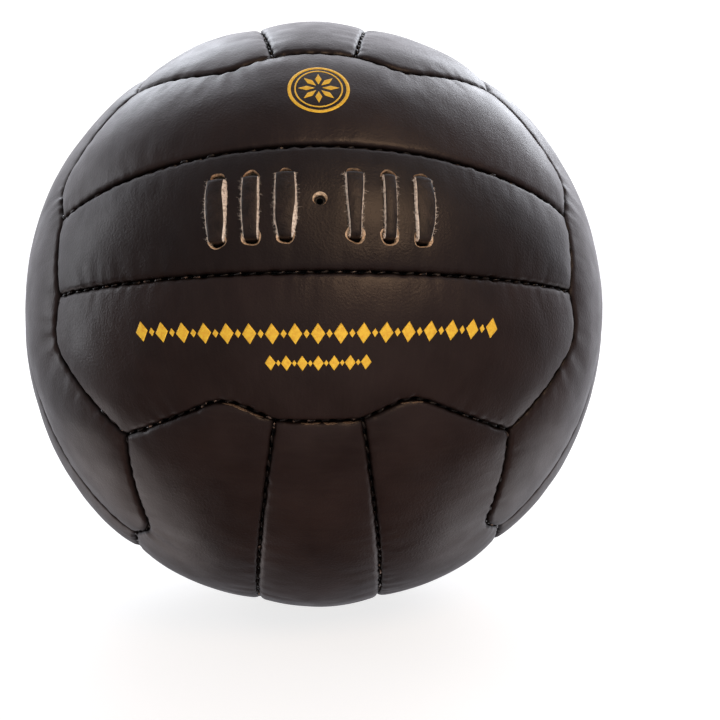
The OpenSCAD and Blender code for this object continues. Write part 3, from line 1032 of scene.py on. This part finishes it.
def build_slivers(material):
    """The edge shows at five places, given as shares of a seam's length."""
    outer = mirrored(as_side(half_end()), Z)
    flat = np.vstack([mirrored(outer[:1], X), outer[:1]])
    left, right, middle = (PANELS[f"bottom_{strip}"] for strip in ("left", "right", "middle"))
    parts = [sliver(mirrored(outer, X), 0.06, 0.30, left, 1), sliver(outer, 0.22, 0.36, right, 2),
             sliver(flat, 0.30, 0.52, middle, 3), sliver(flat, 0.55, 0.72, middle, 4),
             sliver(flat, 0.74, 0.95, middle, 5)]
    new_joined("raw_edges", parts, material)


# ---- Gold ornaments ----

# Height of the foil over the leather, and of its underside, which sinks into the leather
FOIL_LIFT = 0.07 * MM
FOIL_ROOT = -0.08 * MM


def foil(outline_xy, centre, panel):
    """A thin filled shape that hugs the leather: outline in mm about a (lon, lat) centre."""
    rings = 4
    edge = np.array(outline_xy) * MM
    middle = edge.mean(0)
    count = len(edge)
    levels = np.linspace(1, 0, rings + 1)[:-1]
    flat = np.vstack([middle + (edge - middle) * level for level in levels] + [middle[None]])
    top = on_leather(flat, centre, panel, FOIL_LIFT)
    bottom = on_leather(edge, centre, panel, FOIL_ROOT)
    verts = np.vstack([top, bottom])
    faces = []
    for ring in range(rings - 1):
        first = np.arange(count) + ring * count
        faces += band_faces(first + count, first).tolist()
    last = np.arange(count) + (rings - 1) * count
    tip = rings * count
    faces += [[a, b, tip] for a, b in zip(last, np.roll(last, -1))]
    under = tip + 1 + np.arange(count)
    faces += band_faces(np.arange(count), under).tolist()
    faces.append(under[::-1].tolist())
    return verts, faces


def foil_ring(line_xy, width, centre, panel):
    """A thin closed line of foil along a path, in mm about a (lon, lat) centre."""
    line = np.array(line_xy) * MM
    along = unit(np.roll(line, -1, 0) - np.roll(line, 1, 0))
    side = np.stack([-along[:, 1], along[:, 0]], -1) * width * MM / 2
    left, right = line + side, line - side
    section = ((left, FOIL_ROOT), (right, FOIL_ROOT), (right, FOIL_LIFT), (line, FOIL_LIFT),
               (left, FOIL_LIFT))
    rings = np.stack([on_leather(xy, centre, panel, lift) for xy, lift in section], 1)
    count, size = rings.shape[:2]
    faces = []
    for ring in range(count):
        here = np.arange(size) + ring * size
        following = np.arange(size) + (ring + 1) % count * size
        faces += band_faces(here, following).tolist()
    return rings.reshape(-1, 3), faces


def on_leather(xy, centre, panel, lift):
    """Points of the front face's frame on a panel's leather, each looked up in its own frame."""
    lon0, lat0 = centre
    lat = lat0 + xy[:, 1] / BALL_R
    lon = lon0 + xy[:, 0] / (BALL_R * math.cos(lat0))
    directions = face_point(lon, lat)
    return directions * (BALL_R + panel.height(directions @ panel.turn) + lift)[:, None]


def ellipse(radius_x, radius_y):
    angle = full_turn(96)
    return np.stack([radius_x * np.cos(angle), radius_y * np.sin(angle)], -1)


def lozenge(width, height, x=0, y=0, angle=0):
    """Outline of a lozenge with points along its sides, so that it can follow the leather."""
    corners = np.array([(width / 2, 0), (0, height / 2), (-width / 2, 0), (0, -height / 2)])
    t = np.linspace(0, 1, 5, endpoint=False)[:, None]
    outline = np.vstack([a + (b - a) * t for a, b in zip(corners, np.roll(corners, -1, 0))])
    c, s = math.cos(angle), math.sin(angle)
    return outline @ np.array([[c, s], [-s, c]]) + (x, y)


def badge_parts():
    """A plain double ring round an eight-leaved rosette, in mm."""
    centre, panel = (1.4 * MM / BALL_R, math.radians(24)), PANELS["front_upper"]
    parts = [foil_ring(ellipse(9.6, 11.2), 1.1, centre, panel),
             foil_ring(ellipse(7.7, 9.2), 0.5, centre, panel)]
    for leaf in range(8):
        angle = leaf * math.pi / 4
        outline = lozenge(2.2, 5.6, 4.0 * math.sin(angle), 4.6 * math.cos(angle), -angle)
        parts.append(foil(outline, centre, panel))
    return parts


def band_parts(lon_reach, lat_middle, lat_ends, height, pitch):
    """A row of upright lozenges with small ones between them, following a shallow arc. Its
    height and pitch are in mm."""
    panel = PANELS["front_lower"]
    count = int(2 * lon_reach * BALL_R / MM / pitch)
    parts = []
    for k in range(2 * count + 1):
        share = k / count - 1
        lon = share * lon_reach
        lat = lat_middle + (lat_ends - lat_middle) * share * share
        tall = k % 2 == 0
        size = (0.62 * pitch, height) if tall else (0.26 * pitch, 0.42 * height)
        parts.append(foil(lozenge(*size), (lon, lat), panel))
    return parts


def build_ornaments(material):
    long_band = band_parts(math.radians(31.7), math.radians(-21.6), math.radians(-18.5), 6.6, 7.2)
    short_band = band_parts(math.radians(8.6), math.radians(-26.4), math.radians(-26.1), 4.8, 5.4)
    for name, parts in (("gold_badge", badge_parts()), ("gold_band", long_band),
                        ("gold_row", short_band)):
        new_joined(name, parts, material)


# ---- Materials ----

class Shader:
    """A node tree, built from short calls."""

    def __init__(self, tree):
        self.tree = tree
        self.tree.nodes.clear()

    def add(self, kind, settings=None, **inputs):
        """A new node. Its inputs go by name, or by number as in _0, and take values or links."""
        node = self.tree.nodes.new("ShaderNode" + kind)
        for key, value in (settings or {}).items():
            setattr(node, key, value)
        for key, value in inputs.items():
            socket = node.inputs[int(key[1:])] if key[1:].isdigit() else node.inputs[key.replace("_", " ")]
            if isinstance(value, bpy.types.NodeSocket):
                self.tree.links.new(value, socket)
            else:
                socket.default_value = value
        return node

    def place(self):
        return self.add("TexCoord").outputs["Object"]

    def stretched(self, vector, scale):
        mapping = self.add("Mapping", Vector=vector, Scale=scale)
        return mapping.outputs["Vector"]

    def noise(self, vector, size, detail=2.0, roughness=0.5):
        node = self.add("TexNoise", Vector=vector, Scale=1 / size, Detail=detail, Roughness=roughness)
        return node.outputs["Fac"]

    def cells(self, vector, size):
        node = self.add("TexVoronoi", {"feature": "SMOOTH_F1"}, Vector=vector, Scale=1 / size)
        return node.outputs["Distance"]

    def spread(self, value, low, high, to_low=0.0, to_high=1.0):
        node = self.add("MapRange", Value=value, From_Min=low, From_Max=high,
                        To_Min=to_low, To_Max=to_high)
        return node.outputs["Result"]

    def colours(self, factor, *stops):
        node = self.add("ValToRGB", Fac=factor)
        ramp = node.color_ramp
        while len(ramp.elements) < len(stops):
            ramp.elements.new(0.5)
        for element, (position, colour) in zip(ramp.elements, stops):
            element.position = position
            element.color = (*colour, 1)
        return node.outputs["Color"]

    def mixed(self, factor, a, b):
        """Colour a, or b where the factor is 1; colours are links or (r, g, b)."""
        a, b = ((*colour, 1) if isinstance(colour, tuple) else colour for colour in (a, b))
        return self.add("Mix", {"data_type": "RGBA"}, Factor=factor, _6=a, _7=b).outputs[2]

    def maths(self, operation, a, b=0.0):
        return self.add("Math", {"operation": operation}, _0=a, _1=b).outputs[0]

    def bump(self, height, depth, normal=None):
        inputs = {"Height": height, "Distance": depth, "Strength": 1.0}
        if normal is not None:
            inputs["Normal"] = normal
        return self.add("Bump", **inputs).outputs["Normal"]


class Material(Shader):
    def __init__(self, name):
        self.material = bpy.data.materials.new(name)
        self.material.use_nodes = True
        super().__init__(self.material.node_tree)

    def finish(self, **inputs):
        surface = self.add("BsdfPrincipled", **inputs)
        output = self.add("OutputMaterial")
        self.tree.links.new(surface.outputs["BSDF"], output.inputs["Surface"])
        return self.material


def leather_grain(s, place):
    """Places on the strip, creases that run across it, and a normal that is bumped by soft folds,
    creases, pebbles and pores."""
    strip = s.add("Attribute", {"attribute_name": "strip"}).outputs["Vector"]
    pebble = s.cells(place, 0.75 * MM)
    pore = s.noise(place, 0.35 * MM, 3)
    crease = s.noise(s.stretched(strip, (1, 0.09, 0.09)), 1.1 * MM, 3)
    soft = s.noise(s.stretched(strip, (1, 0.35, 0.35)), 5 * MM, 2)
    normal = s.bump(soft, 0.07 * MM)
    normal = s.bump(crease, 0.022 * MM, normal)
    normal = s.bump(pebble, 0.065 * MM, normal)
    normal = s.bump(pore, 0.04 * MM, normal)
    return strip, crease, normal


def leather_material():
    """Nearly black brown leather, glossy on the outside and dull down in the seams, where shade is painted
    in as a nearly black colour.
    """
    s = Material("dark_leather")
    place = s.place()
    strip, crease, normal = leather_grain(s, place)
    tone = s.noise(place, 26 * MM, 4, 0.6)
    base = s.colours(tone, (0.3, (0.0145, 0.0075, 0.0061)), (0.7, (0.0245, 0.0132, 0.0107)))
    worn = s.spread(crease, 0.45, 0.7)
    base = s.mixed(s.maths("MULTIPLY", worn, 0.12), base, (0.042, 0.026, 0.018))
    tone_here = s.add("Attribute", {"attribute_name": "tone"}).outputs["Fac"]
    base = s.add("VectorMath", {"operation": "SCALE"}, Vector=base, Scale=tone_here).outputs["Vector"]
    away = s.add("SeparateXYZ", Vector=strip).outputs["Z"]
    # Painted shade: within about a millimetre of the seam line the colour turns nearly black, standing in
    # for the shade down in the groove; the same mask also lowers the gloss there
    outside_painted_seam_shade = s.spread(away, 0.3 * MM, 1.3 * MM)
    base = s.mixed(outside_painted_seam_shade, (0.004, 0.0028, 0.0025), base)
    rough = s.spread(s.noise(place, 9 * MM, 4), 0.3, 0.7, 0.34, 0.45)
    return s.finish(Base_Color=base, Roughness=rough, Normal=normal,
                    Specular_IOR_Level=s.spread(outside_painted_seam_shade, 0, 1, 0.08, 0.5),
                    Coat_Weight=s.maths("MULTIPLY", outside_painted_seam_shade, 0.12), Coat_Roughness=0.28)


def lace_material():
    """Leather of the thongs: the same brown, with a coarser grain."""
    s = Material("lace_leather")
    place = s.place()
    grain = s.noise(place, 0.5 * MM, 4, 0.65)
    fold = s.noise(place, 2.5 * MM, 2)
    base = s.colours(s.noise(place, 3 * MM, 4),
                     (0.3, (0.011, 0.0068, 0.0052)), (0.75, (0.028, 0.0170, 0.0125)))
    pebble = s.cells(place, 0.7 * MM)
    normal = s.bump(pebble, 0.07 * MM, s.bump(grain, 0.12 * MM, s.bump(fold, 0.35 * MM)))
    return s.finish(Base_Color=base, Roughness=0.42, Normal=normal, Coat_Weight=0.12,
                    Coat_Roughness=0.3)


def raw_leather_material(name, dark, light, grain_size=0.28 * MM):
    """Cut edge of the leather: tan loose fibres, with painted shade that makes it darker down in a hole.
    """
    s = Material(name)
    place = s.place()
    fibre_grain = s.noise(place, grain_size, 5, 0.7)
    radius = s.add("VectorMath", {"operation": "LENGTH"}, _0=place).outputs["Value"]
    # Painted shade: the colour is pushed darker the deeper the point lies under the ball's surface
    shown = s.spread(radius, BALL_R - 2.0 * MM, BALL_R - 0.3 * MM, -0.25, 0.06)
    tone = s.colours(s.maths("ADD", fibre_grain, shown), (0.32, dark), (0.62, light))
    normal = s.bump(fibre_grain, 0.18 * MM)
    return s.finish(Base_Color=tone, Roughness=0.85, Normal=normal)


def thread_material():
    """Black waxed thread: glossy in some places, dull in others, with painted glints, small pale spots, in
    a few.
    """
    s = Material("waxed_thread")
    place = s.place()
    twist = s.noise(place, 0.3 * MM, 2)
    base = s.colours(twist, (0.3, (0.004, 0.0027, 0.0022)), (0.8, (0.016, 0.0105, 0.0080)))
    # Painted highlight: pale spots where two noises are both high stand in for glints on the wax
    painted_glint = s.maths("MULTIPLY", s.spread(s.noise(place, 1.5 * MM, 2), 0.56, 0.70),
                     s.spread(s.noise(place, 14 * MM, 1), 0.50, 0.60))
    base = s.mixed(painted_glint, base, (0.34, 0.22, 0.16))
    dull = s.spread(s.noise(place, 7 * MM, 1), 0.42, 0.6, 0.55, 0.2)
    return s.finish(Base_Color=base, Roughness=dull, Normal=s.bump(twist, 0.06 * MM),
                    Coat_Weight=s.spread(dull, 0.2, 0.55, 1.0, 0.05), Coat_Roughness=0.1)


def gold_material():
    """Gold print, slightly worn and as pebbled as the leather under it, with a faint painted glow."""
    s = Material("gold_print")
    place = s.place()
    wear = s.noise(place, 1.1 * MM, 4, 0.6)
    base = s.colours(wear, (0.25, (0.74, 0.37, 0.035)), (0.6, (1.0, 0.63, 0.06)))
    grain = s.bump(s.cells(place, 0.75 * MM), 0.05 * MM)
    # Painted glow: a faint orange emission makes the print shine though it is no lamp
    return s.finish(Base_Color=base, Roughness=0.5, Metallic=0.25, Normal=grain,
                    Emission_Color=(1.0, 0.55, 0.03, 1), Emission_Strength=0.15)


def speckled_material(name, colour, dark_share, grain, depth, roughness):
    """One colour, darker and lower in the specks: cloth, or rubber."""
    s = Material(name)
    speck = s.noise(s.place(), grain, 3)
    dark = tuple(dark_share * c for c in colour)
    base = s.colours(speck, (0.3, dark), (0.7, colour))
    return s.finish(Base_Color=base, Roughness=roughness, Normal=s.bump(speck, depth))


def cloth_material(name, colour):
    return speckled_material(name, colour, 0.7, 0.5 * MM, 0.15 * MM, 0.9)


def rubber_material(name, colour, roughness):
    return speckled_material(name, colour, 0.75, 0.6 * MM, 0.05 * MM, roughness)


# ---- The ball ----

leather = leather_material()
lace_leather = lace_material()
lace_raw = raw_leather_material("lace_raw_edge", (0.20, 0.11, 0.06), (1.0, 0.88, 0.74), 0.8 * MM)
hole_raw = raw_leather_material("hole_raw_edge", (0.09, 0.045, 0.022), (0.98, 0.74, 0.50), 0.9 * MM)
# A darker copy of the hole edge for the upper row of holes: painted shade for their walls, which face down
painted_shade_hole_raw = raw_leather_material("painted_shade_hole_edge", (0.05, 0.027, 0.014), (0.75, 0.48, 0.28),
                                       0.9 * MM)
seam_raw = raw_leather_material("seam_raw_edge", (0.05, 0.027, 0.014), (0.24, 0.15, 0.085))
thread = thread_material()
gold = gold_material()
lining_cloth = cloth_material("lining_cloth", (0.30, 0.27, 0.20))
# The backing under the lace holes is nearly black: painted shade that keeps the holes dark inside
backing_cloth = cloth_material("backing_cloth", (0.05, 0.045, 0.04))
bladder_rubber = rubber_material("bladder_rubber", (0.02, 0.02, 0.02), 0.45)
valve_rubber = rubber_material("valve_rubber", (0.012, 0.012, 0.012), 0.4)

for panel in PANELS.values():
    skin = build_panel(panel, leather)
    cloth = build_lining(panel, lining_cloth)
    if panel.laced:
        upper_row, lower_row = lace_hole_cutters(1), lace_hole_cutters(-1)
        cut(skin, upper_row, painted_shade_hole_raw)
        cut(skin, lower_row + [valve_hole_cutter(1.85 * MM, 2.3 * MM)], hole_raw)
        cut(cloth, upper_row + lower_row + [valve_hole_cutter(4.4 * MM, 4.4 * MM)], lining_cloth)
    mark_grain(skin, panel)
    put_in_place(skin, panel.turn)
    put_in_place(cloth, panel.turn)

loose = []
for lace_name, lace_steps, lace_node in (("thong_left", (-1, -2, -3), "lace_left"),
                                         ("thong_right", (1, 2, 3), "lace_right")):
    loose += build_lace(lace_name, lace_steps, lace_node, lace_leather, lace_raw)
new_joined("lace_fibres", loose, lace_raw)

for face_name in FACE_TURNS:
    build_thread(face_name, thread)
build_slivers(seam_raw)

build_ornaments(gold)

for node_name, node_material in (("bladder", bladder_rubber), ("lacing_backing", backing_cloth),
                                 ("valve_seat", valve_rubber), ("valve_core", valve_rubber)):
    node_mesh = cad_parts[node_name].data
    node_mesh.materials.clear()
    node_mesh.materials.append(node_material)


# ---- Studio ----

# How far the floor lies below the CAD ball, whose looks bulge a little past it
FLOOR_GAP = 0.6 * MM


def build_floor():
    """Pale floor, near white to the camera, with a soft shadow. The ball neither mirrors it nor
    gets any light or shadow from it."""
    s = Material("studio_floor")
    speck = s.noise(s.place(), 0.4)
    tone = s.colours(speck, (0.3, (0.50, 0.50, 0.50)), (0.7, (0.52, 0.52, 0.52)))
    seen = s.add("LightPath").outputs["Is Camera Ray"]
    material = s.finish(Base_Color=tone, Roughness=0.9, Emission_Color=(1, 1, 1, 1),
                        Emission_Strength=s.maths("MULTIPLY", seen, 0.78))
    reach, z = 6.0, cad_box[0][2] - FLOOR_GAP
    corners = [(-reach, -reach, z), (reach, -reach, z), (reach, reach, z), (-reach, reach, z)]
    mesh = bpy.data.meshes.new("floor")
    mesh.from_pydata(corners, [], [(0, 1, 2, 3)])
    mesh.materials.append(material)
    floor = bpy.data.objects.new("floor", mesh)
    floor.visible_glossy = False
    floor.visible_diffuse = False
    floor.visible_shadow = False
    bpy.context.scene.collection.objects.link(floor)


def build_world():
    """White background; what the ball reflects is white behind and above it, dim elsewhere."""
    world = bpy.data.worlds.new("studio")
    bpy.context.scene.world = world
    world.use_nodes = True
    s = Shader(world.node_tree)
    split = s.add("SeparateXYZ", Vector=s.add("TexCoord").outputs["Generated"]).outputs
    behind = s.spread(split["Y"], 0.15, 0.80, 0.18, 2.0)
    above = s.spread(split["Z"], -0.60, 0.50, 0.14, 1.0)
    sideways = s.spread(split["X"], -0.7, 0.7, 0.8, 1.25)
    strength = s.maths("MULTIPLY", s.maths("MULTIPLY", behind, above), sideways)
    seen = s.add("LightPath").outputs["Is Camera Ray"]
    colour = s.mixed(seen, (0.93, 0.925, 1.0), (1, 1, 1))
    background = s.add("Background", Color=colour, Strength=s.maths("MAXIMUM", seen, strength))
    output = s.add("OutputWorld")
    s.tree.links.new(background.outputs[0], output.inputs["Surface"])


def area_light(name, location, size, power, colour, mirrored_in_leather=True):
    """A lamp that points at the ball's middle."""
    light = bpy.data.lights.new(name, "AREA")
    light.shape = "RECTANGLE"
    light.size, light.size_y = size
    light.energy = power
    light.color = colour
    holder = bpy.data.objects.new(name, light)
    holder.location = location
    holder.rotation_euler = (-Vector(location)).to_track_quat("-Z", "Y").to_euler()
    holder.visible_glossy = mirrored_in_leather
    bpy.context.scene.collection.objects.link(holder)


def build_camera():
    """A long lens 0.56 m away and a little over the ball's middle; the ball is up left in view."""
    data = bpy.data.cameras.new("camera")
    data.sensor_width = 36
    data.lens = 72.83
    data.clip_start = 0.01
    camera = bpy.data.objects.new("camera", data)
    location = Vector((-0.004134, -0.561419, 0.051620))
    aim = Vector((0.01711, -0.00275, -0.01705))
    turn = (aim - location).to_track_quat("-Z", "Y")
    roll = Euler((0, 0, math.radians(-0.347))).to_quaternion()
    camera.rotation_mode = "QUATERNION"
    camera.rotation_quaternion = turn @ roll
    camera.location = location
    bpy.context.scene.collection.objects.link(camera)
    bpy.context.scene.camera = camera


build_floor()
build_world()
area_light("upper_left", (-0.42, 0.95, 0.75), (0.5, 0.5), 2.3, (0.86, 0.92, 1.0))
area_light("upper_right", (0.60, 0.95, 0.60), (0.5, 0.5), 2.5, (0.88, 0.93, 1.0))
area_light("left_strip", (-1.2, 0.25, 0.25), (0.4, 1.0), 2.5, (0.94, 0.95, 1.0))
area_light("low_left", (-0.80, 0.38, -0.80), (0.8, 0.8), 1.6, (1.0, 0.90, 0.88))
area_light("low_right", (0.80, 0.38, -0.80), (0.8, 0.8), 1.6, (1.0, 0.95, 0.97))
area_light("warm_glow", (0.32, -0.68, 0.56), (0.40, 0.40), 1.8, (1.0, 0.64, 0.38))
area_light("front_fill", (0.2, -1.5, -0.75), (3.4, 2.2), 36, (1.0, 0.93, 0.92), False)
build_camera()
bpy.context.scene.view_settings.view_transform = "Standard"
